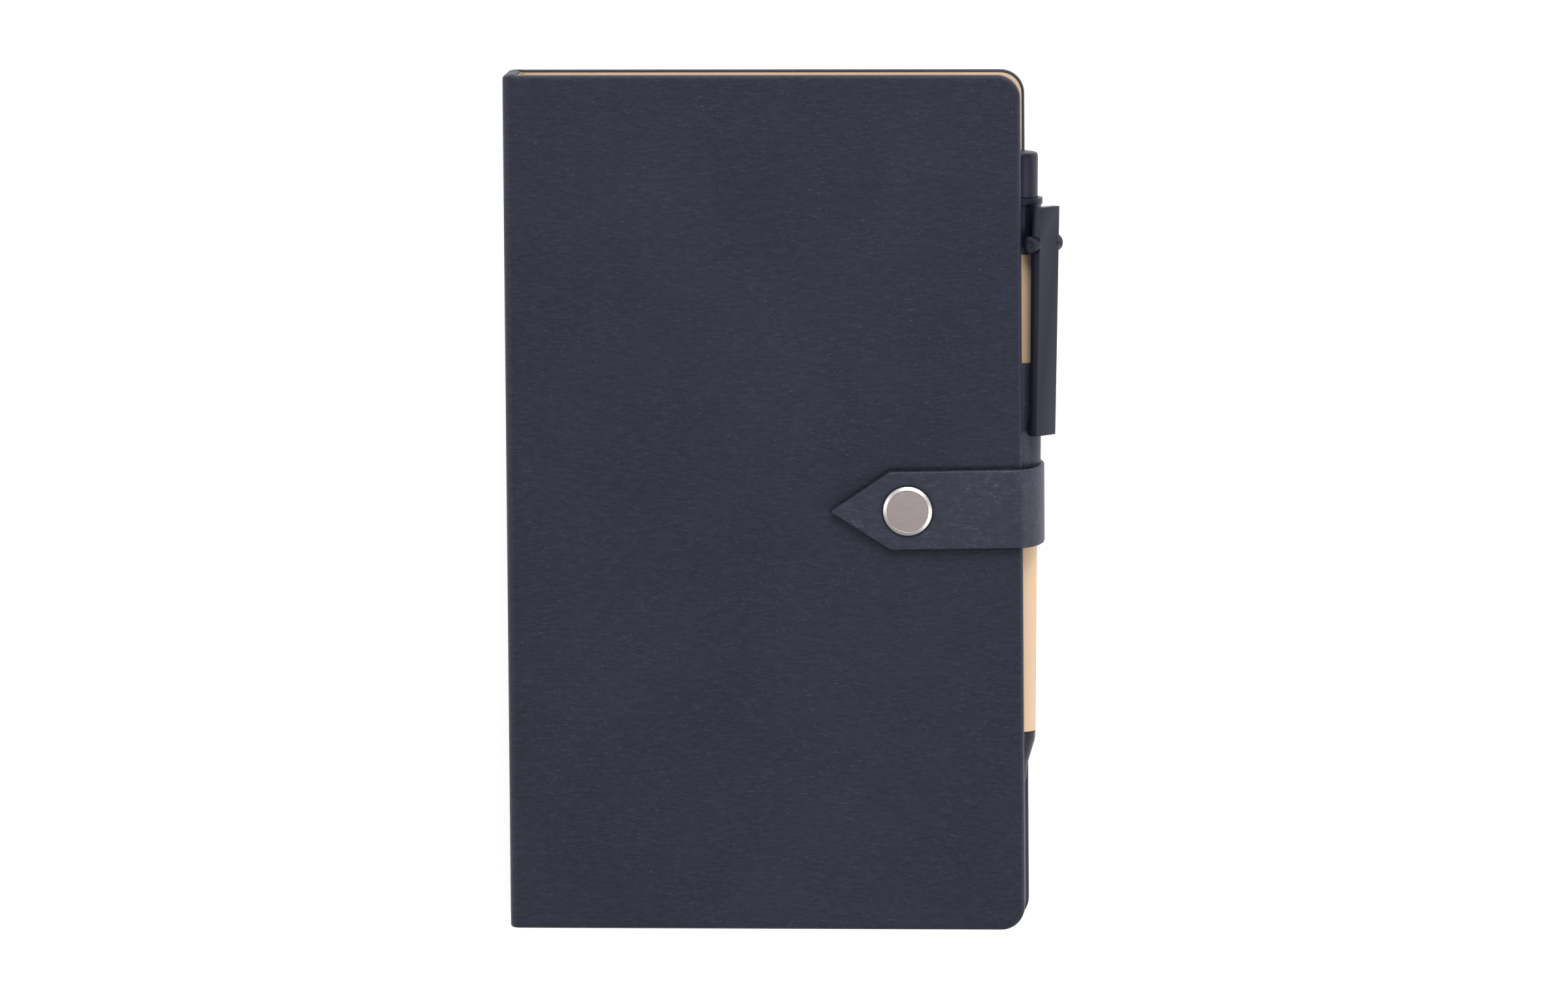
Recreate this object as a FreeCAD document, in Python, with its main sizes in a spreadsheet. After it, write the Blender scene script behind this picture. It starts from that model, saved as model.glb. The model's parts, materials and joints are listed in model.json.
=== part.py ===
"""Leather notebook cover with a snap strap, a paper insert and a push-button pen in a loop.

Row frame, in millimetres: the closed book lies on its back cover. +X runs from the spine to the
fore-edge, +Y from the foot to the head, +Z out of the front cover. The origin is the centre of the
back cover's outer face.
"""
import FreeCAD, Part
import Sketcher
import os
import re

# ---------------------------------------------------------------- driving sizes
SIZES = {
    # cover panels
    "cover_width": 110.0,
    "cover_height": 182.5,
    "corner_radius": 5.0,
    "skin_thickness": 0.8,
    "board_thickness": 1.5,
    "lining_thickness": 0.4,
    "turned_edge": 0.45,
    "hinge_clearance": 0.1,
    "fit_clearance": 0.05,
    # paper insert
    "page_margin": 3.0,
    "pen_to_pages": 0.85,
    "spine_clearance": 0.5,
    "tape_thickness": 0.3,
    "card_thickness": 0.4,
    "front_pages_thickness": 2.4,
    "page_clearance": 0.05,
    "block_clearance": 0.25,
    # pocket on the inside of the back cover
    "pocket_thickness": 0.4,
    "pocket_height": 68.0,
    # strap
    "strap_thickness": 1.15,
    "strap_width": 16.7,
    "strap_from_foot": 90.0,
    "strap_to_pen": 1.3,
    "strap_lift": 0.5,
    "anchor_length": 25.0,
    "tab_length": 40.35,
    "tab_point": 12.4,
    "leather_clearance": 0.1,
    # snap fastener
    "snap_inset": 24.2,
    "cap_radius": 5.25,
    "cap_thickness": 0.9,
    "cap_stem_radius": 1.0,
    "socket_radius": 4.4,
    "socket_height": 1.0,
    "socket_roof": 0.3,
    "socket_drop": 0.25,
    "socket_bore": 2.2,
    "stud_radius": 2.1,
    "stud_flange_radius": 4.0,
    "stud_flange": 0.2,
    "stud_height": 0.85,
    "snap_clearance": 0.05,
    "rivet_shank_radius": 0.9,
    "rivet_head_radius": 3.0,
    "rivet_head": 0.4,
    "rivet_recess": 0.1,
    # pen, measured from its writing end along its own axis
    "pen_proud": 1.85,
    "pen_from_foot": 25.5,
    "pen_lean": 0.8,
    "barrel_radius": 4.75,
    "barrel_wall": 0.65,
    "barrel_length": 102.2,
    "tip_length": 16.5,
    "tip_end_radius": 2.1,
    "tip_bore": 1.3,
    "tip_shoulder": 6.0,
    "neck_length": 6.0,
    "spring_bore": 2.6,
    "mount_step": 0.25,
    "mount_length": 10.3,
    "ring_step": 0.55,
    "ring_length": 1.5,
    "button_step": 0.5,
    "button_shown": 9.7,
    "button_hidden": 4.5,
    "button_travel": 4.5,
    "button_stem_radius": 2.2,
    "button_clearance": 0.1,
    "button_stop_gap": 0.5,
    "cam_step": 1.55,
    "cam_length": 8.0,
    "cam_clearance": 0.2,
    "refill_radius": 1.5,
    "refill_top": 105.0,
    "point_radius": 1.1,
    "point_start": 1.5,
    "point_run_out": 0.5,
    "spring_seat": 17.0,
    "spring_wall": 0.45,
    "loop_wall": 0.55,
    "loop_from_foot": 98.65,
    "loop_height": 22.4,
    "loop_seat": 0.15,
    "loop_foot_margin": 1.05,
    # lever clip, turned about the pen from +X towards +Z
    "clip_turn": 35.0,
    "clip_width": 6.5,
    "clip_gap": 1.6,
    "clip_thickness": 2.0,
    "clip_bow": 0.1,
    "clip_spread": 0.2,
    "clip_tail": 0.5,
    "clip_nub": 0.7,
    "clip_nub_start": 0.4,
    "clip_nub_length": 2.0,
    "clip_nub_run": 2.6,
    "clip_bottom": 80.2,
    "clip_top": 128.9,
    "pivot_height": 121.0,
    "pivot_inset": 0.6,
    "pivot_pin_radius": 0.6,
    "pivot_boss_radius": 1.8,
    "pivot_boss": 1.3,
    "boss_overlap": 0.5,
    "lug_width": 2.6,
    "lug_clearance": 0.15,
    "lug_half_length": 1.3,
    "lug_wall": 0.35,
    "lug_swing": 0.3,
    "over_cut": 1.0,
}

# ---------------------------------------------------------------- sizes worked out from them
DERIVED = {
    "panel": "skin_thickness + board_thickness + lining_thickness",
    "cover_gap": "2 * (loop_radius + loop_seat)",
    "closed": "2 * panel + cover_gap",
    "spine_side": "-cover_width / 2",
    "fore_side": "cover_width / 2",
    "foot_side": "-cover_height / 2",
    "head_side": "cover_height / 2",
    "board_foot": "foot_side + turned_edge",
    "board_head": "head_side - turned_edge",
    "board_fore": "fore_side - turned_edge",
    "block_spine": "spine_side + panel + spine_clearance + tape_thickness",
    "board_spine": "block_spine",
    "block_fore": "pen_x - loop_radius - pen_to_pages",
    "block_foot": "foot_side + page_margin",
    "block_head": "head_side - page_margin",
    "rear_pages_start": "panel + card_thickness + pocket_thickness + 3 * page_clearance",
    "front_card_start": "closed - panel - block_clearance - card_thickness",
    "front_pages_start": "front_card_start - front_pages_thickness",
    "rear_pages_end": "front_pages_start - page_clearance",
    "strap_foot": "foot_side + strap_from_foot - strap_width / 2",
    "strap_head": "foot_side + strap_from_foot + strap_width / 2",
    "strap_middle": "foot_side + strap_from_foot",
    "strap_half": "strap_thickness / 2",
    "strap_x": "pen_x + barrel_radius + strap_to_pen + strap_half",
    "anchor_start": "skin_thickness + board_thickness - strap_thickness",
    "anchor_z": "anchor_start + strap_half",
    "tab_start": "closed + strap_lift",
    "tab_z": "tab_start + strap_half",
    "tab_end": "tab_start + strap_thickness",
    "snap_x": "fore_side - snap_inset",
    "socket_start": "tab_start - socket_drop",
    "socket_end": "socket_start + socket_height",
    "pen_z": "panel + cover_gap / 2",
    "pen_x": "fore_side - barrel_radius + pen_proud",
    "pen_y": "foot_side + pen_from_foot",
    "barrel_bore": "barrel_radius - barrel_wall",
    "neck_radius": "barrel_bore - fit_clearance",
    "barrel_end": "tip_length + barrel_length",
    "mount_end": "barrel_end + mount_length",
    "ring_end": "mount_end + ring_length",
    "button_start": "ring_end - button_hidden",
    "button_end": "ring_end + button_shown",
    "mount_radius": "barrel_radius + mount_step",
    "ring_radius": "barrel_radius + ring_step",
    "button_radius": "barrel_radius - button_step",
    "button_well": "button_start - button_travel - button_stop_gap",
    "cam_start": "refill_top",
    "cam_end": "refill_top + cam_length",
    "cam_radius": "barrel_radius - cam_step",
    "cam_bore": "cam_radius + cam_clearance",
    "tube_start": "tip_shoulder + button_travel + point_run_out",
    "loop_bore": "barrel_radius + fit_clearance",
    "loop_radius": "loop_bore + loop_wall",
    "loop_start": "loop_from_foot - pen_from_foot",
    "loop_foot": "loop_radius + loop_foot_margin",
    "clip_inner": "barrel_radius + clip_gap",
    "clip_outer": "clip_inner + clip_thickness",
    "pivot_offset": "clip_inner + pivot_inset",
    "boss_end": "clip_width / 2 + pivot_boss",
}


def formula(text):
    """The expression with each named size as a cell of the sheet and each derived size written out."""

    def cell(match):
        word = match.group(0)
        if word in DERIVED:
            return "(" + formula(DERIVED[word]) + ")"
        return "Sizes." + word

    return re.sub(r"[a-z_]{2,}", cell, text)


doc = FreeCAD.newDocument("NotebookCover")
sheet = doc.addObject("Spreadsheet::Sheet", "Sizes")
for row, (alias, number) in enumerate(SIZES.items(), start=1):
    sheet.set(f"A{row}", str(number))
    sheet.setAlias(f"A{row}", alias)
doc.recompute()


def measure(text):
    """The number that an expression on the named sizes gives now."""
    return float(sheet.evalExpression(formula(text)))


NODES = []
ZERO = "0 * panel"


def new_body(label):
    """An empty body that becomes the node of this name."""
    body = doc.addObject("PartDesign::Body", label)
    body.Label = label
    NODES.append(body)
    return body


def bind(feature, sizes, corner):
    """Ties a feature's sizes and its corner or centre to the sheet."""
    for name, text in sizes.items():
        feature.setExpression(name, formula(text))
    for axis, text in zip("xyz", corner):
        feature.setExpression(f".Placement.Base.{axis}", formula(text))


def block(body, x_span, y_span, z_span, cut=False):
    """A box between two expressions along each axis, added to the body or cut from it."""
    kind = "Subtractive" if cut else "Additive"
    feature = body.newObject(f"PartDesign::{kind}Box", f"{body.Name}_block")
    spans = (x_span, y_span, z_span)
    lengths = [f"({high}) - ({low})" for low, high in spans]
    bind(feature, dict(zip(("Length", "Width", "Height"), lengths)), [low for low, high in spans])
    return feature


def rod(body, radius, z_span, centre=(ZERO, ZERO), cut=False):
    """A cylinder along Z between two expressions, added to the body or cut from it."""
    kind = "Subtractive" if cut else "Additive"
    feature = body.newObject(f"PartDesign::{kind}Cylinder", f"{body.Name}_rod")
    low, high = z_span
    bind(feature, {"Radius": radius, "Height": f"({high}) - ({low})"}, (*centre, low))
    return feature


def cross_rod(body, radius, y_span, centre, cut=False):
    """A cylinder along Y between two expressions, centred at an X and a Z."""
    kind = "Subtractive" if cut else "Additive"
    feature = body.newObject(f"PartDesign::{kind}Cylinder", f"{body.Name}_cross_rod")
    feature.Placement = FreeCAD.Placement(
        FreeCAD.Vector(), FreeCAD.Rotation(FreeCAD.Vector(1, 0, 0), -90)
    )
    low, high = y_span
    x, z = centre
    bind(feature, {"Radius": radius, "Height": f"({high}) - ({low})"}, (x, low, z))
    return feature


def taper(body, low_radius, high_radius, z_span):
    """A cone frustum on the Z axis between two expressions."""
    feature = body.newObject("PartDesign::AdditiveCone", f"{body.Name}_taper")
    low, high = z_span
    sizes = {"Radius1": low_radius, "Radius2": high_radius, "Height": f"({high}) - ({low})"}
    bind(feature, sizes, (ZERO, ZERO, low))
    return feature


def round_edges(body, radius, wanted):
    """Fillets the edges whose bounding box passes the test."""
    doc.recompute()
    base = body.Tip
    edges = base.Shape.Edges
    names = [f"Edge{i}" for i, edge in enumerate(edges, start=1) if wanted(edge.BoundBox)]
    fillet = body.newObject("PartDesign::Fillet", f"{body.Name}_fillet")
    fillet.Base = (base, names)
    fillet.setExpression("Radius", formula(radius))
    body.Tip = fillet
    return fillet


def near(a, b):
    return abs(a - b) < 1e-4


def at_x(box, x):
    return near(box.XMin, x) and near(box.XMax, x)


def upright_at(x):
    """A test for edges along Z at this X."""
    return lambda box: at_x(box, x) and box.ZLength > 0.05 and near(box.YMin, box.YMax)


def foot_corner_at(x):
    """A test for the edge along Z at this X that stands at the foot of the board."""
    return lambda box: upright_at(x)(box) and near(box.YMax, measure("board_foot"))


def flat_at(z):
    """A test for edges that lie level at this Z."""
    return lambda box: near(box.ZMin, z) and near(box.ZMax, z)


def along_y_at(x):
    """A test for edges along Y at this X."""
    return lambda box: at_x(box, x) and box.YLength > 1 and near(box.ZMin, box.ZMax)


def outline_pad(body, plane_role, corners, start, length):
    """A straight-sided outline on one of the body's planes, each corner tied to the sheet, and its pad."""
    sketch = body.newObject("Sketcher::SketchObject", f"{body.Name}_outline")
    plane = [f for f in body.Origin.OriginFeatures if f.Role == plane_role][0]
    sketch.AttachmentSupport = [(plane, "")]
    sketch.MapMode = "FlatFace"
    sketch.setExpression(".AttachmentOffset.Base.z", formula(start))
    points = [FreeCAD.Vector(measure(x), measure(y), 0) for x, y in corners]
    for first, second in zip(points, points[1:] + points[:1]):
        sketch.addGeometry(Part.LineSegment(first, second), False)
    count = len(points)
    for i in range(count):
        sketch.addConstraint(Sketcher.Constraint("Coincident", i, 2, (i + 1) % count, 1))
    for i, corner in enumerate(corners):
        for kind, text in zip(("DistanceX", "DistanceY"), corner):
            rule = Sketcher.Constraint(kind, -1, 1, i, 1, measure(text))
            number = sketch.addConstraint(rule)
            sketch.setExpression(f"Constraints[{number}]", formula(text))
    pad = body.newObject("PartDesign::Pad", f"{body.Name}_pad")
    pad.Profile = sketch
    pad.setExpression("Length", formula(length))
    body.Tip = pad
    return pad


# ---------------------------------------------------------------- cover panels
def panel_skin(label, low, inner, outer):
    """Outer leather of one cover, turned up round the board on every side. Its spine edge is fully
    round, because the leather bends there. low is the panel's lowest Z; the board's space runs from
    inner to outer."""
    body = new_body(label)
    high = f"{low} + panel"
    block(body, ("spine_side", "fore_side"), ("foot_side", "head_side"), (low, high))
    board_space = (inner, outer)
    block(body, ("board_spine", "board_fore"), ("board_foot", "board_head"), board_space, cut=True)
    round_edges(body, "corner_radius - turned_edge", upright_at(measure("board_fore")))
    round_edges(body, "corner_radius", upright_at(measure("fore_side")))
    round_edges(body, "panel / 2 - fit_clearance / 5", along_y_at(measure("spine_side")))
    return body


def inner_sheet(label, z_span):
    """A board or lining that fills the space inside a panel's leather."""
    body = new_body(label)
    block(body, ("board_spine", "board_fore"), ("board_foot", "board_head"), z_span)
    round_edges(body, "corner_radius - turned_edge", upright_at(measure("board_fore")))
    return body


STRAP_BAY = ("strap_foot - leather_clearance", "strap_head + leather_clearance")

back_skin = panel_skin("back_skin", ZERO, "skin_thickness", "panel")
block(
    back_skin,
    ("board_fore - over_cut", "fore_side + over_cut"),
    STRAP_BAY,
    ("anchor_start", "skin_thickness + board_thickness"),
    cut=True,
)
back_board = inner_sheet("back_board", ("skin_thickness", "skin_thickness + board_thickness"))
block(
    back_board,
    ("fore_side - anchor_length - leather_clearance", "fore_side"),
    STRAP_BAY,
    ("anchor_start", "skin_thickness + board_thickness"),
    cut=True,
)
inner_sheet("back_lining", ("skin_thickness + board_thickness", "panel"))

front_low = "closed - panel"
front_board_low = "closed - skin_thickness - board_thickness"
front_skin = panel_skin("front_skin", front_low, front_low, "closed - skin_thickness")
front_board = inner_sheet("front_board", (front_board_low, "closed - skin_thickness"))
inner_sheet("front_lining", (front_low, front_board_low))

SNAP = ("snap_x", "strap_middle")
shank_hole = "rivet_shank_radius + snap_clearance"
rod(front_skin, shank_hole, ("closed - skin_thickness - over_cut", "closed + over_cut"), SNAP, cut=True)
rod(front_board, shank_hole, (front_board_low, "closed"), SNAP, cut=True)
rod(
    front_board,
    "rivet_head_radius + snap_clearance",
    (front_board_low, f"{front_board_low} + rivet_head"),
    SNAP,
    cut=True,
)

# ---------------------------------------------------------------- spine
SPINE_Z = ("panel + hinge_clearance", "closed - panel - hinge_clearance")


def spine_layer(label, x_span, edge):
    """One layer of the spine, from the leather on its outside to the lining on its inside."""
    body = new_body(label)
    low, high = SPINE_Z
    z_span = (f"{low} + {edge}", f"{high} - {edge}")
    block(body, x_span, (f"foot_side + {edge}", f"head_side - {edge}"), z_span)
    return body


spine_skin = spine_layer("spine_skin", ("spine_side", "spine_side + panel"), ZERO)
block(
    spine_skin,
    ("spine_side + skin_thickness", "spine_side + panel"),
    ("board_foot", "board_head"),
    (f"{SPINE_Z[0]} + turned_edge", f"{SPINE_Z[1]} - turned_edge"),
    cut=True,
)
spine_board_end = "spine_side + skin_thickness + board_thickness"
spine_layer("spine_board", ("spine_side + skin_thickness", spine_board_end), "turned_edge")
spine_layer("spine_lining", (spine_board_end, "spine_side + panel"), "turned_edge")

# ---------------------------------------------------------------- paper insert and its pocket
BLOCK_X = ("block_spine", "block_fore")
BLOCK_Y = ("block_foot", "block_head")


def paper(label, x_span, z_span):
    body = new_body(label)
    block(body, x_span, BLOCK_Y, z_span)
    return body


paper("insert_back_card", BLOCK_X, ("panel", "panel + card_thickness"))
paper("rear_pages", BLOCK_X, ("rear_pages_start", "rear_pages_end"))
paper("insert_spine_tape", ("block_spine - tape_thickness", "block_spine"), ("panel", "rear_pages_end"))
paper("front_pages", BLOCK_X, ("front_pages_start", "front_card_start"))
paper("insert_front_card", BLOCK_X, ("front_card_start", "front_card_start + card_thickness"))

pocket_head = "board_foot + pocket_height"
card_bay = "panel + card_thickness + page_clearance"
back_pocket = new_body("back_pocket")
pocket_top = "panel + pocket_thickness"
pocket_spine = "block_spine + card_thickness"
block(back_pocket, (pocket_spine, "board_fore"), ("board_foot", pocket_head), ("panel", pocket_top))
round_edges(back_pocket, "corner_radius - turned_edge", foot_corner_at(measure("board_fore")))
block(
    back_pocket,
    (pocket_spine, "block_fore + page_clearance + pocket_thickness"),
    ("board_foot", pocket_head),
    ("panel", f"{card_bay} + pocket_thickness"),
)
block(
    back_pocket,
    ("block_spine", "block_fore + page_clearance"),
    ("block_foot - page_clearance", f"{pocket_head} + over_cut"),
    ("panel", card_bay),
    cut=True,
)

# ---------------------------------------------------------------- strap
STRAP_Y = ("strap_foot", "strap_head")
strap_anchor = new_body("strap_anchor")
block(
    strap_anchor,
    ("fore_side - anchor_length", "strap_x"),
    STRAP_Y,
    ("anchor_start", "anchor_start + strap_thickness"),
)
cross_rod(strap_anchor, "strap_half", STRAP_Y, ("strap_x", "anchor_z"))

strap_side = new_body("strap_side")
block(
    strap_side,
    ("strap_x - strap_half", "strap_x + strap_half"),
    STRAP_Y,
    ("anchor_z + strap_half + hinge_clearance", "tab_z - strap_half - hinge_clearance"),
)

stem_hole = "cap_stem_radius + snap_clearance"
strap_tab = new_body("strap_tab")
shoulder = "fore_side - tab_length + tab_point"
outline_pad(
    strap_tab,
    "XY_Plane",
    [
        ("strap_x", "strap_foot"),
        ("strap_x", "strap_head"),
        (shoulder, "strap_head"),
        ("fore_side - tab_length", "strap_middle"),
        (shoulder, "strap_foot"),
    ],
    "tab_start",
    "strap_thickness",
)
cross_rod(strap_tab, "strap_half", STRAP_Y, ("strap_x", "tab_z"))
rod(strap_tab, "socket_radius + snap_clearance", ("tab_start - over_cut", "socket_end"), SNAP, cut=True)
rod(strap_tab, stem_hole, ("tab_start", "tab_end + over_cut"), SNAP, cut=True)

# ---------------------------------------------------------------- snap fastener
snap_cap = new_body("snap_cap")
rod(snap_cap, "cap_radius", ("tab_end", "tab_end + cap_thickness"), SNAP)
round_edges(snap_cap, "cap_thickness / 3", flat_at(measure("tab_end + cap_thickness")))
rod(snap_cap, "cap_stem_radius", ("socket_end - socket_roof", "tab_end"), SNAP)

snap_socket = new_body("snap_socket")
rod(snap_socket, "socket_radius", ("socket_start", "socket_end"), SNAP)
rod(snap_socket, "socket_bore", ("socket_start - over_cut", "socket_end - socket_roof"), SNAP, cut=True)
rod(snap_socket, stem_hole, ("socket_start", "socket_end + over_cut"), SNAP, cut=True)

snap_stud = new_body("snap_stud")
rod(snap_stud, "stud_flange_radius", ("closed", "closed + stud_flange"), SNAP)
rod(snap_stud, "stud_radius", ("closed", "closed + stud_height"), SNAP)
rod(snap_stud, shank_hole, ("closed - over_cut", "closed + stud_height + over_cut"), SNAP, cut=True)

snap_rivet = new_body("snap_rivet")
rod(snap_rivet, "rivet_head_radius", (front_board_low, f"{front_board_low} + rivet_head"), SNAP)
rod(snap_rivet, "rivet_shank_radius", (front_board_low, "closed + stud_height - rivet_recess"), SNAP)


# ---------------------------------------------------------------- pen
def place_on_pen(body, turn=ZERO):
    """Puts a body built along Z on the leaning pen axis. turn swings its X side about the axis,
    towards +Z."""
    lean = FreeCAD.Rotation(FreeCAD.Vector(0, 0, 1), -measure("pen_lean"))
    upright = FreeCAD.Rotation(FreeCAD.Vector(1, 0, 0), -90)
    swing = FreeCAD.Rotation(FreeCAD.Vector(0, 0, 1), -measure(turn))
    body.Placement = FreeCAD.Placement(FreeCAD.Vector(), lean * upright * swing)
    for axis, text in zip("xyz", ("pen_x", "pen_y", "pen_z")):
        body.setExpression(f".Placement.Base.{axis}", formula(text))


def tube(label, outer, inner, z_span):
    """A round sleeve on the pen axis."""
    body = new_body(label)
    low, high = z_span
    rod(body, outer, z_span)
    rod(body, inner, (f"{low} - over_cut", f"{high} + over_cut"), cut=True)
    return body


pen_barrel = tube("pen_barrel", "barrel_radius", "barrel_bore", ("tip_length", "barrel_end"))
place_on_pen(pen_barrel)

pen_tip = new_body("pen_tip")
taper(pen_tip, "tip_end_radius", "barrel_radius", (ZERO, "tip_length"))
rod(pen_tip, "neck_radius", ("tip_length", "tip_length + neck_length"))
rod(pen_tip, "spring_bore", ("tip_shoulder", "tip_length + neck_length + over_cut"), cut=True)
rod(pen_tip, "tip_bore", ("-over_cut", "tip_length"), cut=True)
place_on_pen(pen_tip)

pen_clip_mount = new_body("pen_clip_mount")
rod(pen_clip_mount, "neck_radius", ("barrel_end - neck_length", "barrel_end"))
rod(pen_clip_mount, "mount_radius", ("barrel_end", "mount_end"))
rod(pen_clip_mount, "ring_radius", ("mount_end", "ring_end"))
block(
    pen_clip_mount,
    ("mount_radius - barrel_wall / 2", "pivot_offset + pivot_pin_radius + lug_wall"),
    ("-lug_width / 2", "lug_width / 2"),
    ("pivot_height - lug_half_length", "pivot_height + lug_half_length"),
)
rod(pen_clip_mount, "button_radius + button_clearance", ("button_well", "ring_end + over_cut"), cut=True)
rod(pen_clip_mount, "cam_bore", ("barrel_end - neck_length - over_cut", "button_well + over_cut"), cut=True)
cross_rod(
    pen_clip_mount,
    "pivot_pin_radius",
    ("-lug_width", "lug_width"),
    ("pivot_offset", "pivot_height"),
    cut=True,
)
place_on_pen(pen_clip_mount, "clip_turn")

clip_pin = new_body("clip_pin")
cross_rod(clip_pin, "pivot_pin_radius", ("-boss_end", "boss_end"), ("pivot_offset", "pivot_height"))
place_on_pen(clip_pin, "clip_turn")

pen_clip = new_body("pen_clip")
nub_start = "clip_bottom + clip_nub_start"
nub_end = f"{nub_start} + clip_nub_length"
outline_pad(
    pen_clip,
    "XZ_Plane",
    [
        ("clip_inner - clip_nub", nub_start),
        ("clip_inner - clip_nub", nub_end),
        ("clip_inner + clip_bow", f"{nub_end} + clip_nub_run"),
        ("clip_inner", "pivot_height"),
        ("clip_inner + clip_tail", "clip_top"),
        ("clip_outer + clip_spread + clip_bow * 2", "clip_top"),
        ("clip_outer + clip_spread + clip_bow", "pivot_height"),
        ("clip_outer - clip_spread", "clip_bottom"),
        ("clip_inner", "clip_bottom"),
    ],
    "-clip_width / 2",
    "clip_width",
)
boss_start = "clip_width / 2 - boss_overlap"
for low, high in (("-boss_end", f"-({boss_start})"), (boss_start, "boss_end")):
    cross_rod(pen_clip, "pivot_boss_radius", (low, high), ("pivot_offset", "pivot_height"))
block(
    pen_clip,
    ("mount_radius", "pivot_offset + pivot_pin_radius + lug_wall + lug_swing"),
    ("-lug_width / 2 - lug_clearance", "lug_width / 2 + lug_clearance"),
    ("pivot_height - 2 * lug_half_length", "pivot_height + 2 * lug_half_length"),
    cut=True,
)
cross_rod(
    pen_clip,
    "pivot_pin_radius + fit_clearance",
    ("-boss_end - over_cut", "boss_end + over_cut"),
    ("pivot_offset", "pivot_height"),
    cut=True,
)
place_on_pen(pen_clip, "clip_turn")

pen_button = new_body("pen_button")
rod(pen_button, "button_radius", ("button_start", "button_end"))
round_edges(pen_button, "button_radius / 4", flat_at(measure("button_end")))
rod(pen_button, "button_stem_radius", ("cam_end + page_clearance", "button_start"))
place_on_pen(pen_button)

pen_cam = new_body("pen_cam")
rod(pen_cam, "cam_radius", ("cam_start", "cam_end"))
place_on_pen(pen_cam)

pen_refill = new_body("pen_refill")
rod(pen_refill, "refill_radius", ("tube_start", "refill_top"))
rod(pen_refill, "spring_bore - button_clearance", ("spring_seat", "spring_seat + barrel_wall"))
place_on_pen(pen_refill)

pen_point = new_body("pen_point")
nose_end = "point_start + point_radius"
taper(pen_point, "point_radius / 3", "point_radius", ("point_start", nose_end))
rod(pen_point, "point_radius", (nose_end, "tube_start"))
place_on_pen(pen_point)

spring_inner = "refill_radius + fit_clearance"
spring_outer = f"{spring_inner} + spring_wall"
pen_spring = tube("pen_spring", spring_outer, spring_inner, ("tip_shoulder", "spring_seat"))
place_on_pen(pen_spring)

# The loop is a leather sleeve round the pen with a foot that is glued flat to the back lining.
pen_loop = new_body("pen_loop")
LOOP_Z = ("loop_start", "loop_start + loop_height")
rod(pen_loop, "loop_radius", LOOP_Z)
foot_level = "cover_gap / 2"
block(pen_loop, ("-loop_foot", ZERO), (f"{foot_level} - loop_wall", foot_level), LOOP_Z)
rod(pen_loop, "loop_bore", ("loop_start - over_cut", "loop_start + loop_height + over_cut"), cut=True)
place_on_pen(pen_loop)

# ---------------------------------------------------------------- tests and files
doc.recompute()
for item in doc.Objects:
    if "Invalid" in item.State or "Error" in item.State:
        raise SystemExit(f"{item.Name} failed: {item.State}")
for body in NODES:
    shape = body.Shape
    if shape.isNull() or not shape.isValid() or len(shape.Solids) != 1:
        raise SystemExit(f"{body.Label} is not one valid solid: {len(shape.Solids)} solids")
os.makedirs("parts", exist_ok=True)
for body in NODES:
    body.Shape.exportStep(f"parts/{body.Label}.step")
    box = body.Shape.BoundBox
    print(f"{body.Label:18s} {body.Shape.Volume:10.1f} mm3  x {box.XMin:.2f}..{box.XMax:.2f}  "
          f"y {box.YMin:.2f}..{box.YMax:.2f}  z {box.ZMin:.2f}..{box.ZMax:.2f}")
print(len(NODES), "nodes")
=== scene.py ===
# %% [markdown]
# # A leather notebook cover with a snap strap and a pen
#
# The closed book lies on its back cover. The row's frame holds the true sizes: +X runs from the spine
# to the fore-edge, +Y from the foot to the head and +Z out of the front cover. This lesson dresses that
# frame: leather with turned edges, kraft linings, single leaves of paper, a moulded pen, a metal snap.
# Every shape is a formula on two numbers, worked out for the whole grid at once.

# %% Load the frame
import json
import math

import bmesh
import bpy
import numpy as np
from mathutils import Matrix, Vector


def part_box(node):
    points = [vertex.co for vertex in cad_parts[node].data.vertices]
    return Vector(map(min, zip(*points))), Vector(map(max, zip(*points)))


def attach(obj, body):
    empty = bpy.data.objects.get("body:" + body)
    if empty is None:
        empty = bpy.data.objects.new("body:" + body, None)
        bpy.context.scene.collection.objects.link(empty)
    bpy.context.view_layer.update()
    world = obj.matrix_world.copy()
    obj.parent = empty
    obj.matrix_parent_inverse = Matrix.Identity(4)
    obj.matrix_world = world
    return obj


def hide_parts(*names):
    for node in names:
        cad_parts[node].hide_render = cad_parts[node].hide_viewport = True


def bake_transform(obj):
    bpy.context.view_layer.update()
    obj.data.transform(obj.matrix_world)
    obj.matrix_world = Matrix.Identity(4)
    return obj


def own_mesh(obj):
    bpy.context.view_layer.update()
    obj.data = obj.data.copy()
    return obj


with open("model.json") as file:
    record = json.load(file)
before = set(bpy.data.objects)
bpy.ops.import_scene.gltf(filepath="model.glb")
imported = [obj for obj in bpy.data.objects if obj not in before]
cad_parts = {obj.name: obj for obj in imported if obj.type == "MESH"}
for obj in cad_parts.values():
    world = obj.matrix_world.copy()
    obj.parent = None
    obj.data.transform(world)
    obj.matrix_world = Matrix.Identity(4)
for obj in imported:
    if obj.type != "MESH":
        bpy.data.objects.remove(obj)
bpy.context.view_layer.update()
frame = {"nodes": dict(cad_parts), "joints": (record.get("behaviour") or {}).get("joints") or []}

# %% [markdown]
# ## Sizes
#
# Lengths are worked out in millimetres, as a maker reads them, and turned into metres when a mesh is
# written. The cover's own measures come from the frame's boxes, so nothing has to be fitted later.

# %% Sizes taken from the frame
MM = 0.001


def box_mm(node):
    """Lowest and highest corner of a frame node, in millimetres."""
    low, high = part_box(node)
    return np.array(low) / MM, np.array(high) / MM


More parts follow.
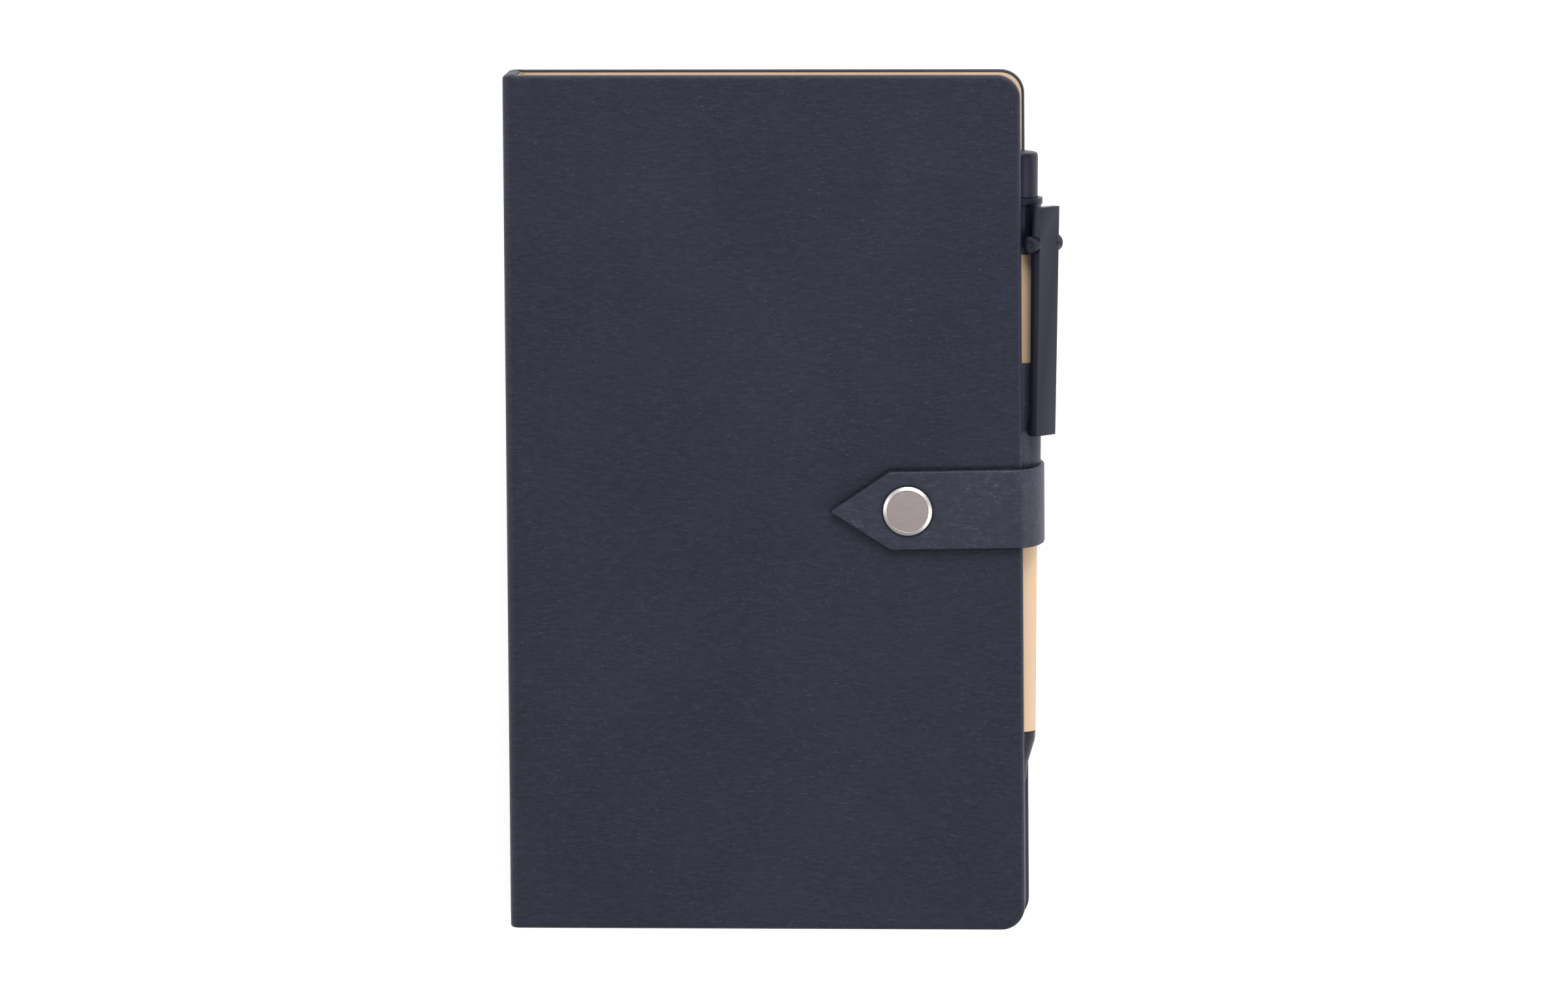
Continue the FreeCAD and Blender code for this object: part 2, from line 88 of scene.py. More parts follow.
back_low, back_high = box_mm("back_skin")
front_high = box_mm("front_skin")[1]
board_low, board_high = box_mm("back_board")
lining_low, lining_high = box_mm("back_lining")

SPINE, FORE = back_low[0], back_high[0]
FOOT, HEAD = back_low[1], back_high[1]
TOP = front_high[2]
PANEL = back_high[2]
HALF_HEIGHT = (HEAD - FOOT) / 2
SKIN = board_low[2]
LINING = lining_high[2] - lining_low[2]
TURNED = FORE - board_high[0]
CORNER = 5.0
BEND = 2.2
HINGE_THICKNESS = 1.2
print(f"cover {FORE - SPINE:.0f} by {HEAD - FOOT:.0f} mm, {TOP:.1f} mm thick, panel {PANEL:.2f} mm")

# %% [markdown]
# ## Meshes from arrays
#
# A piece is an array of points and an array of faces. After it is built, points that coincide are
# merged and the faces of the closed shell are turned outwards, so Cycles knows which side is out.
# Sharp folds keep their crease because smooth shading stops at an angle.


# %% Mesh helpers
def grid_faces(rows, columns, start=0, closed=False):
    """Quads of a rows by columns grid of points numbered row by row. closed joins the last column to
    the first."""
    across = columns if closed else columns - 1
    i, j = np.meshgrid(np.arange(rows - 1), np.arange(across), indexing="ij")
    k = (j + 1) % columns
    quads = np.stack([i * columns + j, i * columns + k, (i + 1) * columns + k, (i + 1) * columns + j], -1)
    return (quads + start).reshape(-1, 4)


def make_piece(name, points_mm, faces, finish, angle=35):
    """A closed mesh object from points in millimetres and an array of faces. Open ends are filled, the
    faces point outwards, and edges sharper than the angle stay sharp."""
    mesh = bpy.data.meshes.new(name)
    mesh.from_pydata((np.asarray(points_mm) * MM).tolist(), [], np.asarray(faces).tolist())
    work = bmesh.new()
    work.from_mesh(mesh)
    bmesh.ops.remove_doubles(work, verts=work.verts, dist=1e-7)
    bmesh.ops.dissolve_degenerate(work, edges=work.edges, dist=1e-8)
    open_edges = [edge for edge in work.edges if edge.is_boundary]
    if open_edges:
        bmesh.ops.holes_fill(work, edges=open_edges, sides=0)
    bmesh.ops.recalc_face_normals(work, faces=work.faces)
    leaks = sum(not edge.is_manifold for edge in work.edges)
    work.to_mesh(mesh)
    work.free()
    mesh.shade_smooth()
    mesh.set_sharp_from_angle(angle=math.radians(angle))
    mesh.materials.append(finish)
    piece = bpy.data.objects.new(name, mesh)
    bpy.context.scene.collection.objects.link(piece)
    triangles = sum(len(face.vertices) - 2 for face in mesh.polygons)
    print(f"{name}: {triangles} triangles, {leaks} open edges")
    return piece


def quarter(radius, count=5):
    """Sine and one minus cosine of a quarter turn, times the radius: how a round edge leaves a face."""
    turn = np.linspace(0, np.pi / 2, count)
    return radius * np.sin(turn), radius * (1 - np.cos(turn))


def rise(value, low, high):
    """0 below low, 1 above high and a smooth rise between: t * t * (3 - 2 t)."""
    t = np.clip((np.asarray(value, float) - low) / (high - low), 0, 1)
    return t * t * (3 - 2 * t)


# %% [markdown]
# ## Shader arithmetic
#
# A finish is easier to read as a sum than as a web of boxes. `Wire` holds one output socket and turns
# `+ - *` into Math nodes. `Finish.node` makes any other node. What varies over the surface feeds only
# colour, roughness and bump.


# %% Shader helpers
class Wire:
    """One output of a node tree. Arithmetic on it adds Math nodes."""

    def __init__(self, finish, socket):
        self.finish, self.socket = finish, socket

    def math(self, operation, *others):
        return self.finish.node("ShaderNodeMath", {"operation": operation}, [self, *others])

    def __add__(self, other):
        return self.math("ADD", other)

    def __sub__(self, other):
        return self.math("SUBTRACT", other)

    def __mul__(self, other):
        return self.math("MULTIPLY", other)

    def __rsub__(self, other):
        return (self * -1.0) + other

    __radd__ = __add__
    __rmul__ = __mul__

    def clip(self):
        """The value held between 0 and 1."""
        return self.finish.node("ShaderNodeClamp", {}, [self])

    def step(self, low, high):
        """0 below low, 1 above high, and a smooth rise between."""
        settings = {"interpolation_type": "SMOOTHSTEP"}
        return self.finish.node("ShaderNodeMapRange", settings, [self, low, high, 0.0, 1.0])


class Finish:
    """A material and the means to write its nodes as expressions."""

    def __init__(self, name, roughness=0.5, metallic=0.0, specular=0.5):
        self.material = bpy.data.materials.new(name)
        self.material.use_nodes = True
        self.tree = self.material.node_tree
        self.shader = self.tree.nodes["Principled BSDF"]
        self.shader.inputs["Roughness"].default_value = roughness
        self.shader.inputs["Metallic"].default_value = metallic
        self.shader.inputs["Specular IOR Level"].default_value = specular

    def node(self, kind, settings, inputs, output=0):
        """Any node: its settings first, then its sockets by place or by name, then one output."""
        node = self.tree.nodes.new(kind)
        for name, value in settings.items():
            setattr(node, name, value)
        pairs = inputs.items() if isinstance(inputs, dict) else enumerate(inputs)
        for key, value in pairs:
            if isinstance(value, Wire):
                self.tree.links.new(value.socket, node.inputs[key])
            else:
                node.inputs[key].default_value = value
        return Wire(self, node.outputs[output])

    def seen(self):
        """Object coordinates, which are the row's frame in metres."""
        return self.node("ShaderNodeTexCoord", {}, [], "Object")

    def along(self, axis):
        """One of the object coordinates, in millimetres."""
        return self.node("ShaderNodeSeparateXYZ", {}, [self.seen()], axis) * (1 / MM)

    def place(self, scale, turn=(0, 0, 0)):
        """Object coordinates with so many pattern units to a millimetre along each axis."""
        sizes = [value / MM for value in scale]
        return self.node("ShaderNodeMapping", {}, {"Vector": self.seen(), "Rotation": turn, "Scale": sizes})

    def noise(self, where, scale=1.0, detail=3.0, roughness=0.55, distortion=0.0):
        inputs = {"Vector": where, "Scale": scale, "Detail": detail, "Roughness": roughness}
        return self.node("ShaderNodeTexNoise", {}, {**inputs, "Distortion": distortion}, 0)

    def cells(self, where, scale=1.0, feature="F1", randomness=1.0):
        inputs = {"Vector": where, "Scale": scale, "Randomness": randomness}
        return self.node("ShaderNodeTexVoronoi", {"feature": feature}, inputs, "Distance")

    def mix(self, share, first, second):
        """A colour between two colours."""
        inputs = {0: share, 6: first, 7: second}
        return self.node("ShaderNodeMix", {"data_type": "RGBA"}, inputs, 2)

    def colour(self, wire):
        self.tree.links.new(wire.socket, self.shader.inputs["Base Color"])

    def rough(self, wire):
        self.tree.links.new(wire.socket, self.shader.inputs["Roughness"])

    def bump(self, height, depth_mm, strength=1.0):
        """Raises the surface by the height times a depth in millimetres."""
        inputs = {"Strength": strength, "Distance": depth_mm * MM, "Height": height}
        bent = self.node("ShaderNodeBump", {}, inputs, "Normal")
        self.tree.links.new(bent.socket, self.shader.inputs["Normal"])


def shade(colour, factor):
    """A colour made lighter or darker, with its alpha kept."""
    return (*[min(1.0, part * factor) for part in colour[:3]], 1.0)


# %% [markdown]
# ## Leather
#
# The cover is navy bonded leather, embossed with a fine pebble and many short creases that run across
# the book. The pebble is a stretched cell pattern bent by noise. The creases are thin ridges of a
# second, longer noise, and they come in patches, as where real leather was creased in the drum. Their
# colour is painted much lighter than the leather, a painted highlight where they catch the light. They
# crowd together near the strap's point, where the cover is pulled each time the snap is opened. The
# strap is cut from smoother leather with almost no crease.
#
# Two painted shades come first, and both need the strap's place: a narrow dark band on the front cover
# along the strap's edge, which is the strap's contact shadow painted in together with the crease its edge
# presses, and a dark ring of painted shade round the snap's cap. On the real object they may be pressed
# leather or only the shade where two pieces meet. Both are painted into the leather's own colour, so they
# stay where they are when the strap is open.

# %% The strap's place
anchor_low, anchor_high = box_mm("strap_anchor")
tab_low, tab_high = box_mm("strap_tab")
snap_low, snap_high = box_mm("snap_cap")
snap_middle = [(low + high) / 2 for low, high in zip(snap_low, snap_high)]
strap_middle = (anchor_low[1] + anchor_high[1]) / 2
STRAP_HALF = (anchor_high[1] - anchor_low[1]) / 2
CAP_RADIUS = (snap_high[0] - snap_low[0]) / 2
POINT = 12.4
POINT_ANGLE = math.atan2(STRAP_HALF, POINT)
SLANT = math.tan(math.radians(0.9))
print(f"strap {2 * STRAP_HALF:.1f} mm wide, cap {2 * CAP_RADIUS:.1f} mm across")


# %% Painted shade round the strap
def painted_strap_shade(made):
    """1 in the narrow band of painted shade along the strap's edge, its contact shadow on the cover,
    a little wider on the head side. The distance outside a pointed bar is the larger of |y| - half width
    and |y| cos a - x sin a, with x from the tip and a the half angle of the point."""
    x = made.along("X") - tab_low[0]
    y = made.along("Y") - strap_middle - SLANT * (x - (snap_middle[0] - tab_low[0]))
    aside = y.math("ABSOLUTE")
    flank = aside * math.cos(POINT_ANGLE) - x * math.sin(POINT_ANGLE)
    outside = (aside - STRAP_HALF).math("MAXIMUM", flank) - y.step(-1, 3) * 0.45
    # Painted shade: the band just round the strap's outline, where the strap shades the cover.
    strap_shade_band = outside.step(-0.9, -0.2) * (1 - outside.step(0.0, 0.7))
    return strap_shade_band * made.along("Z").step(0.5 * TOP, 0.6 * TOP)


def painted_cap_shade(made):
    """1 within half a millimetre of the snap's cap: a ring of painted shade round it, where the cap's rim
    shades the strap.
    """
    gap = {0: made.seen(), 1: [value * MM for value in (*snap_middle[:2], tab_high[2])]}
    reach = made.node("ShaderNodeVectorMath", {"operation": "DISTANCE"}, gap, "Value")
    # Painted shade: the dark ring round the cap.
    return 1 - reach.step((CAP_RADIUS + 0.15) * MM, (CAP_RADIUS + 0.6) * MM)


# %% Leather finishes
# How dark the painted shade round the strap and the cap is.
PAINTED_SHADE_SHARE = 0.58


def leather(name, colour, pebble_depth, crease_depth, roughness, pulled=None, painted_shade=None):
    """Embossed leather: pebble cells, patchy creases across the book whose colour is lifted as a painted
    highlight, and a soft cloudy tone. pulled is a centre in millimetres where the creases crowd together,
    and the last argument is a function that gives where the leather is darkened with painted shade."""
    made = Finish(name, roughness, 0.0, 0.26)
    flat = made.place((1, 1, 1))
    warp = made.noise(flat, 0.35, 2.0)
    stretched = made.place((0.55, 1.7, 1.2))
    bent = made.node("ShaderNodeVectorMath", {"operation": "ADD"}, [stretched, warp])
    pebble = made.cells(bent, 1.0, "SMOOTH_F1")
    pores = made.noise(flat, 5.0, 2.0)
    streak = made.noise(made.place((0.42, 2.3, 1.6)), 1.0, 3.0, 0.6, 0.4)
    dashes = made.noise(made.place((0.55, 0.9, 0.8), (0, 0, 0.4)), 1.0, 2.0).step(0.46, 0.58)
    ridge = (1 - (streak - 0.5).math("ABSOLUTE").step(0.0, 0.034)) * dashes
    patch = made.noise(flat, 0.10, 3.0, 0.6).step(0.36, 0.64) * 0.9 + 0.1
    if pulled:
        centre = [value * MM for value in pulled]
        gap = {0: made.seen(), 1: centre}
        reach = made.node("ShaderNodeVectorMath", {"operation": "DISTANCE"}, gap, "Value")
        patch = patch + (1 - reach.step(5 * MM, 18 * MM)) * 1.1
    crease_and_highlight = ridge * patch
    cloud = made.noise(flat, 0.04, 3.0)
    tone = (cloud * 0.2 + pebble * 0.2 + crease_and_highlight * 0.8).clip()
    # Painted highlight: the creases lift the colour towards 3.8 times the leather's own, as light caught on
    # their edges.
    skin = made.mix(tone, shade(colour, 0.80), shade(colour, 3.8))
    # Painted shade: where that function gives 1, the colour is mixed towards a fifth of the leather's own.
    made.colour(made.mix(painted_shade(made) * PAINTED_SHADE_SHARE, skin, shade(colour, 0.2)) if painted_shade else skin)
    made.rough(pores * 0.12 + (roughness - 0.06) - crease_and_highlight * 0.12)
    made.bump(pebble * pebble_depth + crease_and_highlight * crease_depth + pores * (pebble_depth * 0.2), 1.0)
    return made.material


NAVY = (0.0185, 0.0203, 0.0335, 1.0)
STRAP_NAVY = (0.0275, 0.0300, 0.0450, 1.0)
WRINKLED = (tab_low[0] + 9, tab_high[1] + 1, TOP)
cover_leather = leather("cover_leather", NAVY, 0.08, 0.07, 0.48, WRINKLED, painted_strap_shade)
strap_leather = leather("strap_leather", STRAP_NAVY, 0.025, 0.006, 0.48, None, painted_cap_shade)
print("leather:", cover_leather.name, strap_leather.name)


# %% [markdown]
# ## Paper, card and board
#
# The lining and the pen's barrel are kraft paper: warm brown with darker fibres that lie every way. The
# leaves are cream, the pocket is a thin grey coated sheet, and the boards are grey pulp. One function
# serves them all, because each is fibre in a matt sheet and only the colour and fibre length change.


# %% Paper finishes
def fibre_paper(name, colour, fibre=0.16, depth=0.012, roughness=0.8, scale=(1.0, 1.0, 1.0), speck=0.0):
    """Matt paper: cloudy tone, short fibres from a stretched noise, and a few dark specks."""
    made = Finish(name, roughness, 0.0, 0.3)
    cloud = made.noise(made.place((0.12, 0.12, 0.12)), 1.0, 3.0)
    strands = made.noise(made.place([part * 2.2 for part in scale]), 1.0, 4.0, 0.7, 1.5)
    grain = made.noise(made.place((9, 9, 9)), 1.0, 2.0)
    specks = 1 - made.cells(made.place((0.9, 0.9, 0.9))).step(0.04, 0.10)
    tone = (cloud * 0.4 + strands * 0.6 - specks * speck).clip()
    made.colour(made.mix(tone, shade(colour, 1 - fibre), shade(colour, 1 + fibre)))
    made.rough(grain * 0.1 + (roughness - 0.05))
    made.bump(grain * 0.6 + strands * 0.4, depth)
    return made.material


KRAFT = (0.67, 0.49, 0.34, 1.0)
lining_paper = fibre_paper("lining_paper", KRAFT, 0.14, speck=0.3)
insert_card = fibre_paper("insert_card", (0.62, 0.45, 0.30, 1.0), 0.14, speck=0.3)
page_paper = fibre_paper("page_paper", (0.86, 0.81, 0.70, 1.0), 0.05)
greyboard = fibre_paper("greyboard", (0.42, 0.39, 0.34, 1.0), 0.25, 0.03, 0.9, speck=0.5)
pocket_sheet = fibre_paper("pocket_sheet", (0.15, 0.155, 0.178, 1.0), 0.10, 0.01, 0.55)
pen_kraft = fibre_paper("pen_kraft", (0.73, 0.525, 0.355, 1.0), 0.07, 0.008, 0.7, (1.6, 0.25, 1.6), 0.15)
print("papers made")

# %% [markdown]
# ## Cloth tape, plastic and metal
#
# The insert's spine is bound with a dark woven tape. The pen's fittings are satin navy plastic with the
# faint orange peel of a mould. The snap's cap is brushed nickel: streaks of roughness that run one way.


# %% Tape, plastic and metal finishes
def woven_tape(name, colour, pitch=0.5):
    """Plain weave: threads over and under, the product of two sine waves."""
    made = Finish(name, 0.85, 0.0, 0.2)
    threads = made.place((1 / pitch, 1 / pitch, 1 / pitch))
    split = made.node("ShaderNodeSeparateXYZ", {}, [threads], "Y")
    rows = (split * (2 * math.pi)).math("SINE")
    height = made.node("ShaderNodeSeparateXYZ", {}, [threads], "Z")
    columns = (height * (2 * math.pi)).math("SINE")
    weave = rows * columns * 0.5 + 0.5
    made.colour(made.mix(weave, shade(colour, 0.6), shade(colour, 1.6)))
    made.bump(weave, 0.05)
    return made.material


def moulded(name, colour, roughness, depth=0.004, specular=0.5, metallic=0.0):
    """Moulded or polished surface: one colour, a fine peel and slightly uneven gloss."""
    made = Finish(name, roughness, metallic, specular)
    peel = made.noise(made.place((2.5, 2.5, 2.5)), 1.0, 3.0)
    cloud = made.noise(made.place((0.15, 0.15, 0.15)), 1.0, 2.0)
    made.colour(made.mix(cloud, shade(colour, 0.9), shade(colour, 1.1)))
    made.rough(peel * 0.1 + (roughness - 0.05))
    made.bump(peel, depth)
    return made.material


def brushed(name, colour, roughness, scale=(0.5, 9.0, 9.0), depth=0.003):
    """Brushed metal: fine streaks from a noise drawn out along one axis."""
    made = Finish(name, roughness, 1.0)
    streaks = made.noise(made.place(scale), 1.0, 4.0, 0.65)
    cloud = made.noise(made.place((0.6, 0.6, 0.6)), 1.0, 3.0)
    tone = (streaks * 0.6 + cloud * 0.4).clip()
    made.colour(made.mix(tone, shade(colour, 0.86), shade(colour, 1.12)))
    made.rough(streaks * 0.16 + (roughness - 0.08))
    made.bump(streaks, depth)
    return made.material


PLASTIC = (0.0085, 0.0088, 0.0240, 1.0)
spine_tape = woven_tape("spine_tape", (0.05, 0.05, 0.06, 1.0))
pen_plastic = moulded("pen_plastic", PLASTIC, 0.40, 0.004, 0.28)
refill_tube = moulded("refill_tube", (0.75, 0.77, 0.80, 1.0), 0.25)
snap_metal = brushed("snap_metal", (0.66, 0.58, 0.57, 1.0), 0.46)
snap_rim_metal = moulded("snap_rim_metal", (0.80, 0.76, 0.75, 1.0), 0.44, 0.0005, 0.5, 1.0)
pen_steel = brushed("pen_steel", (0.52, 0.52, 0.53, 1.0), 0.3)
pen_brass = brushed("pen_brass", (0.75, 0.60, 0.35, 1.0), 0.3)
print("tape, plastic and metal made")

# %% [markdown]
# ## One builder for everything cut from a sheet
#
# Cover leather, linings, strap and pen loop are all sheets that run along a path and are finished at
# their edges. A strip has a run along its path and a place across it. The edge is a short list of
# steps, each an inset from the outline and a depth below the outer face: the quarter round of the outer
# edge, the side, the inner round, and for the cover the lip that is turned in round the board. Each step
# gives one ring of points on three sides. The fourth side is the seam, closed flat.


# %% Paths and strips
def one_turn(start, corner, end, before, after):
    """A straight run, a quarter ellipse and a straight run, with the direction at each point. The curve
    leaves the first run so far before the corner and joins the second so far after it. With a and b
    the directions of the runs, it is corner + before a (sin t - 1) + after b (1 - cos t)."""
    start, corner, end = (np.array(point, float) for point in (start, corner, end))
    a = (corner - start) / np.linalg.norm(corner - start)
    b = (end - corner) / np.linalg.norm(end - corner)
    t = np.linspace(0, np.pi / 2, 33)[:, None]
    arc = corner + before * a * (np.sin(t) - 1) + after * b * (1 - np.cos(t))
    heading = before * a * np.cos(t) + after * b * np.sin(t)
    heading /= np.linalg.norm(heading, axis=1, keepdims=True)
    return np.vstack([start, arc, end]), np.vstack([a, heading, b])


def follow(points, heading, side):
    """The place of a run and a depth on a path in the XZ plane: the point at that run, plus the depth
    times the normal. side is 1 where depth lies left of the heading and -1 where it lies right."""
    run = np.concatenate([[0], np.cumsum(np.linalg.norm(np.diff(points, axis=0), axis=1))])
    normal = np.stack([-heading[:, 1], heading[:, 0]], 1) * side

    def place(at, depth):
        x, z = (np.interp(at, run, points[:, axis]) for axis in (0, 1))
        nx, nz = (np.interp(at, run, normal[:, axis]) for axis in (0, 1))
        return x + depth * nx, z + depth * nz

    return place, run[-1]


def edge_steps(outer_round, inner_round, lip=0.0, floor=0.0):
    """Inset, depth and share of the thickness for each ring round the edge. A lip is turned in round a
    board and ends at the floor, which is the sheet's own thickness."""
    sine, drop = quarter(outer_round)
    steps = [(outer_round - s, d, 0) for s, d in zip(sine, drop)]
    sine, drop = quarter(inner_round)
    steps += [(d, s - inner_round, 1) for s, d in zip(sine, drop)]
    return steps + [(lip, 0, 1), (lip, floor, 0)] if lip else steps


def strip(name, outline, thickness, steps, place, finish, columns, middle=None, swell=None, angle=35):
    """A closed sheet: outer face at the first step, inner face at the last, a ring for each step.
    middle gives the Y of the strip's centre line at an X and a Z."""
    across = np.linspace(-1, 1, columns)

    def face(step, lift=None):
        inset, offset, share = step
        run, half = outline(inset)
        y = half[:, None] * across
        run = np.repeat(run[:, None], columns, 1)
        depth = offset + share * thickness(run)
        x, z = place(run, depth - lift(run, y) if lift else depth)
        return np.stack([x, y + middle(x, z) if middle else y, z], -1)

    def rim(grid):
        return np.concatenate([grid[::-1, 0], grid[0, 1:-1], grid[:, -1]])

    outer, inner = face(steps[0], swell), face(steps[-1])
    rings = [rim(face(step)) for step in steps]
    rows, ring = len(outer), len(rings[0])
    points = np.concatenate([outer.reshape(-1, 3), inner.reshape(-1, 3), *rings])
    faces = [grid_faces(rows, columns), grid_faces(rows, columns, rows * columns)]
    faces.append(grid_faces(len(steps), ring, 2 * rows * columns))
    return make_piece(name, points, np.concatenate(faces), finish, angle)


def rounded_outline(base, half, corner):
    """Run and half width of each row at an inset d. Before the corner radius R the row leans in:
    run = b + d (1 - b / R), half = H - R + (R - d) sin t, with cos t = 1 - b / R."""

    def outline(inset):
        lean = np.clip(1 - base / corner, 0, 1)
        return base + inset * lean, half - corner + (corner - inset) * np.sqrt(1 - lean**2)

    return outline


# %% [markdown]
# ## Cover leather
#
# The front leather starts at the fore-edge, crosses the board, bends round the spine and stops at a seam
# halfway down it; the back leather is its mirror image. It is 2.7 mm thick where it holds a board and
# thin where it bends. The glued sheet is never quite flat, so a sum of long slow waves lifts it by a few
# hundredths of a millimetre and lets the light wander. At each hinge the piece bends between the spine
# and its cover, because one sheet of leather runs through.

# %% Cover leather
CORNER_TURN = CORNER * (1 - np.cos(np.linspace(0, np.pi / 2, 12)))
FLAT_END = FORE - SPINE - BEND
ARC = BEND * np.pi / 2
PATH_END = FLAT_END + ARC + TOP / 2 - BEND
flat_rows = np.arange(CORNER + 1.2, FLAT_END - 2, 1.2)
bend_rows = np.linspace(FLAT_END - 1.8, FLAT_END + ARC + 2, 32)
cover_base = np.concatenate([CORNER_TURN, flat_rows, bend_rows])
cover_base = np.append(cover_base, np.linspace(cover_base[-1], PATH_END, 5)[1:])
rng = np.random.default_rng(11)
WAVES = rng.normal(0, 0.16, (18, 2))
PHASES = rng.uniform(0, 2 * np.pi, 18)


def panel_depth(run):
    """Thickness along the run: full over the board, thin through the bend, full again on the spine."""
    on_spine = FLAT_END + ARC
    thin = rise(run, FLAT_END - 1.5, FLAT_END - 0.2) * (1 - rise(run, on_spine + 0.1, on_spine + 1.3))
    return PANEL + (HINGE_THICKNESS - PANEL) * thin


def wander(run, y, sink=2.0):
    """Height of slow waves in the leather, none at an edge. sink lowers them all."""
    fade = rise(HALF_HEIGHT - np.abs(y), 1, 7) * rise(run, 1, 7) * rise(FLAT_END - run, 0, 8)
    waves = np.sin(run[..., None] * WAVES[:, 0] + y[..., None] * WAVES[:, 1] + PHASES)
    return 0.022 * fade * (waves.sum(-1) - sink)


def wander_below(run, y):
    """The same waves, all below the plane that the closed book lies on."""
    return wander(run, y, 9.5)


def cover_path(flip):
    """The outer face from fore-edge to seam, for the front cover or mirrored for the back."""
    low = [TOP - z if flip else z for z in (TOP, TOP, TOP / 2)]
    corners = zip((FORE, SPINE, SPINE), low)
    return follow(*one_turn(*corners, BEND, BEND), -1 if flip else 1)[0]


COVER_EDGE = edge_steps(0.7, 0.4, TURNED, SKIN)
cover_outline = rounded_outline(cover_base, HALF_HEIGHT, CORNER)
front_leather = strip(
    "front_leather", cover_outline, panel_depth, COVER_EDGE, cover_path(False), cover_leather, 150,
    swell=wander,
)
back_leather = strip(
    "back_leather", cover_outline, panel_depth, COVER_EDGE, cover_path(True), cover_leather, 150,
    swell=wander_below,
)

# %% [markdown]
# ## Linings
#
# Kraft paper is pasted over the boards and runs through the hinge onto the spine, level with the lip of
# the turned-in leather. It is the same strip, 0.4 mm thick, set in by the width of the lip.

# %% Linings
LIP_GAP = 0.04


def lining_steps(ease=0.06):
    """Rings of a thin sheet that lies on the inside of a panel, with its two long edges eased."""
    edge = TURNED + LIP_GAP
    return [(edge + ease, -LINING, 1), (edge, ease - LINING, 1), (edge, -ease, 1), (edge + ease, 0, 1)]


lining_outline = rounded_outline(cover_base, HALF_HEIGHT, CORNER)
front_paper = strip(
    "front_lining_paper", lining_outline, panel_depth, lining_steps(), cover_path(False), lining_paper, 60
)
back_paper = strip(
    "back_lining_paper", lining_outline, panel_depth, lining_steps(), cover_path(True), lining_paper, 60
)


# %% [markdown]
# ## The hinges
#
# A cover and the spine turn against each other about a line inside the leather. Here each piece only
# has its transform baked into its points.


# %% The covers at the hinges
def stand_for(piece, nodes=(), body=None):
    """Hides the frame nodes that a piece stands for and, if a body is given, puts the piece on that body."""
    if nodes:
        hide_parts(*nodes)
    if body:
        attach(piece, body)


def bend_at(piece, pivot, direction, reach):
    """Bakes the piece's transform into its points. A stretch of 2 * reach centred on the pivot (X and Z in
    mm) is worked out but not used.
    """
    x, z = pivot
    dx, dz = np.array(direction) / np.hypot(*direction) * reach
    start = ((x - dx) * MM, 0.0, (z - dz) * MM)
    end = ((x + dx) * MM, 0.0, (z + dz) * MM)
    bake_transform(piece)


HINGE_X = SPINE + PANEL / 2
for piece in (front_leather, front_paper):
    bend_at(piece, (HINGE_X, TOP - PANEL / 2), (1, 1), 1.5)
for piece in (back_leather, back_paper):
    bend_at(piece, (HINGE_X, PANEL / 2), (1, -1), 1.5)
stand_for(front_leather, ("front_skin", "spine_skin"))
stand_for(back_leather, ("back_skin",))
stand_for(front_paper, ("front_lining", "spine_lining"))
stand_for(back_paper, ("back_lining",))
print(f"hinges {HINGE_X - SPINE:.2f} mm in from the spine")

# %% [markdown]
# ## Strap
#
# The strap is glued under the back lining, bends up round the pen and folds over the front cover to a
# point. It is two strips that meet on its upright side, because each crosses one fold. The point is a
# straight-sided outline: an inset d moves the tip inwards by d / sin of its half angle.

# %% Strap
STRAP_X = anchor_high[0]
STRAP_LOW, STRAP_HIGH = anchor_low[2], tab_high[2]
STRAP_THICK = anchor_high[2] - anchor_low[2]
TIP_TURN = math.hypot(POINT, STRAP_HALF) / STRAP_HALF
TIP_BLUNT = 0.3
UPPER_FOLD, LOWER_FOLD = 5.0, 3.4
TWIST = 0.05
MEETING = (STRAP_LOW + STRAP_HIGH) / 2


def pointed_outline(base):
    """Run and half width of each row: a blunt tip, straight flanks to the shoulder, then parallel."""

    def outline(inset):
        lean = np.clip(1 - base / POINT, 0, 1)
        full = STRAP_HALF - inset
        return base + inset * TIP_TURN * lean, TIP_BLUNT * lean + full * (1 - lean)

    return outline


def even_thickness(run):
    return np.full_like(run, STRAP_THICK)


def strap_line(x, z):
    """Centre line of the strap. It lies a little askew about the snap and leans to the head as it goes
    down round the pen."""
    return strap_middle + SLANT * (x - snap_middle[0]) + TWIST * (STRAP_HIGH - z)


STRAP_EDGE = edge_steps(0.38, 0.2)
SIDE = MEETING - STRAP_LOW


def strap_path(free_end, level, fold, side):
    """The outer face from a free end, round its fold, to the meeting line on the strap's side."""
    corners = ((free_end, level), (STRAP_X, level), (STRAP_X, MEETING))
    return follow(*one_turn(*corners, fold, SIDE - 0.2), side)


def strap_rows(first, free_end, fold, end):
    """Rows every millimetre on the flat and every 0.35 mm round the fold."""
    fold_start = STRAP_X - free_end - fold
    flat = np.arange(first[-1] + 1, fold_start - 0.5, 1.0)
    return np.concatenate([first, flat, np.linspace(fold_start, end, int((end - fold_start) / 0.35))])


